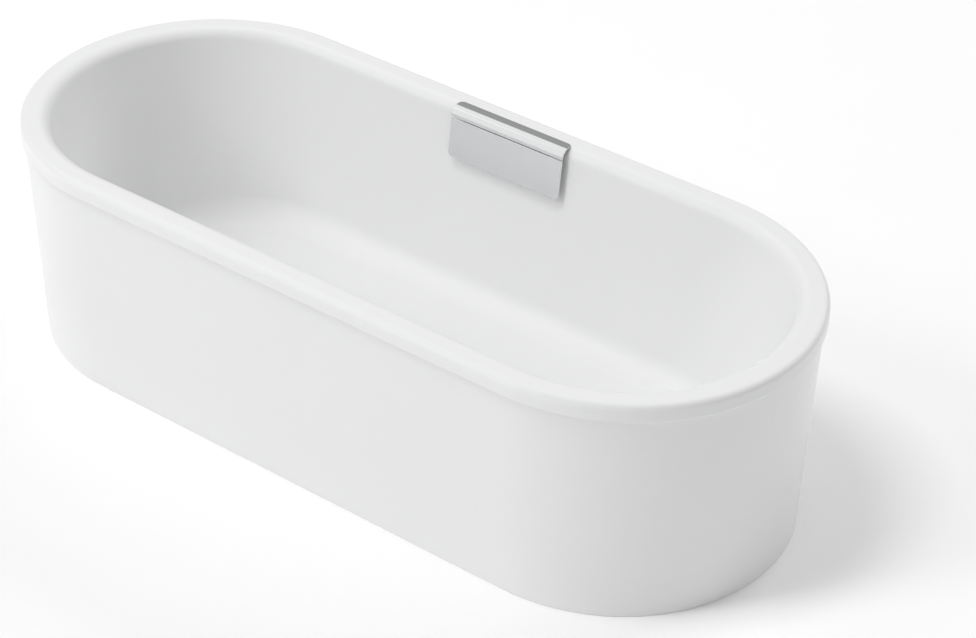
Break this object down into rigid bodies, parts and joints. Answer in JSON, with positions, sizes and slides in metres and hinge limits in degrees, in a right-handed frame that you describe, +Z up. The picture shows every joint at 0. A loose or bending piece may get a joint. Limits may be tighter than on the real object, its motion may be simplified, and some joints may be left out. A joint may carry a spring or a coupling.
{
  "type": "freestanding bathtub",
  "caption": "Oval freestanding bathtub with a rolled rim over a tapered apron, a wide chrome overflow plate, a centre waste with stopper and trap, and a levelled steel base frame.",
  "frame": {"origin": "on the floor under the middle of the tub, at the centre of its bounding box", "axes": "+X along the tub's length, +Y towards the side with the overflow plate, +Z up"},
  "size_m": [1.7, 0.72, 0.473],
  "materials": {
    "acrylic": "white sanitary acrylic, high gloss",
    "chrome": "polished chrome plate",
    "steel": "plain stainless steel sheet",
    "zinc": "bright zinc plate on steel",
    "brass": "turned brass",
    "pipework": "moulded white polypropylene",
    "nuts": "moulded light grey polypropylene",
    "clip": "moulded dark grey nylon",
    "seal": "black rubber",
    "pad": "hard dark grey rubber",
    "adhesive": "light grey polyurethane bead",
    "board": "pressed wood board sealed with resin"
  },
  "bodies": {
    "tub": {"tub_shell": "acrylic", "outer_skirt": "acrylic", "rim_bond": "adhesive", "floor_board": "board", "long_rail_front": "zinc", "long_rail_back": "zinc", "cross_rail_left": "zinc", "cross_rail_middle": "zinc", "cross_rail_right": "zinc", "rail_bolts": "zinc", "rail_nuts": "zinc", "board_screws": "zinc", "skirt_brackets": "zinc", "bracket_screws": "zinc", "foot_inserts": "zinc", "foot_lock_nuts": "zinc", "drain_flange": "chrome", "flange_seal": "seal", "drain_gasket": "seal", "drain_body": "pipework", "trap_body": "pipework", "trap_cap": "pipework", "trap_cap_seal": "seal", "outlet_elbow": "pipework", "slip_nuts_40": "nuts", "pipe_seals_40": "seal", "overflow_flange": "steel", "overflow_seal": "seal", "overflow_body": "pipework", "overflow_pipe": "pipework", "overflow_elbow": "pipework", "overflow_link": "pipework", "slip_nuts_32": "nuts", "pipe_seals_32": "seal", "cover_bracket": "steel", "cover_clips": "clip", "rim_trim": "chrome"},
    "foot_1": {"foot_pad_1": "pad", "foot_stud_1": "zinc"},
    "foot_2": {"foot_pad_2": "pad", "foot_stud_2": "zinc"},
    "foot_3": {"foot_pad_3": "pad", "foot_stud_3": "zinc"},
    "foot_4": {"foot_pad_4": "pad", "foot_stud_4": "zinc"},
    "foot_5": {"foot_pad_5": "pad", "foot_stud_5": "zinc"},
    "foot_6": {"foot_pad_6": "pad", "foot_stud_6": "zinc"},
    "stopper": {"stopper_cap": "chrome", "stopper_seal": "seal", "stopper_pin": "brass"},
    "cover": {"overflow_cover": "chrome"}
  },
  "joints": [
    {"name": "foot_1_screw", "type": "slide", "parent": "tub", "child": "foot_1", "axis": [0, 0, -1], "range_m": [0, 0.015]},
    {"name": "foot_2_screw", "type": "slide", "parent": "tub", "child": "foot_2", "axis": [0, 0, -1], "range_m": [0, 0.015]},
    {"name": "foot_3_screw", "type": "slide", "parent": "tub", "child": "foot_3", "axis": [0, 0, -1], "range_m": [0, 0.015]},
    {"name": "foot_4_screw", "type": "slide", "parent": "tub", "child": "foot_4", "axis": [0, 0, -1], "range_m": [0, 0.015]},
    {"name": "foot_5_screw", "type": "slide", "parent": "tub", "child": "foot_5", "axis": [0, 0, -1], "range_m": [0, 0.015]},
    {"name": "foot_6_screw", "type": "slide", "parent": "tub", "child": "foot_6", "axis": [0, 0, -1], "range_m": [0, 0.015]},
    {"name": "stopper_lift", "type": "slide", "parent": "tub", "child": "stopper", "axis": [0, 0, 1], "range_m": [0, 0.009]},
    {"name": "cover_pull", "type": "slide", "parent": "tub", "child": "cover", "axis": [0, -0.9914, 0.1305], "range_m": [0, 0.04]}
  ]
}
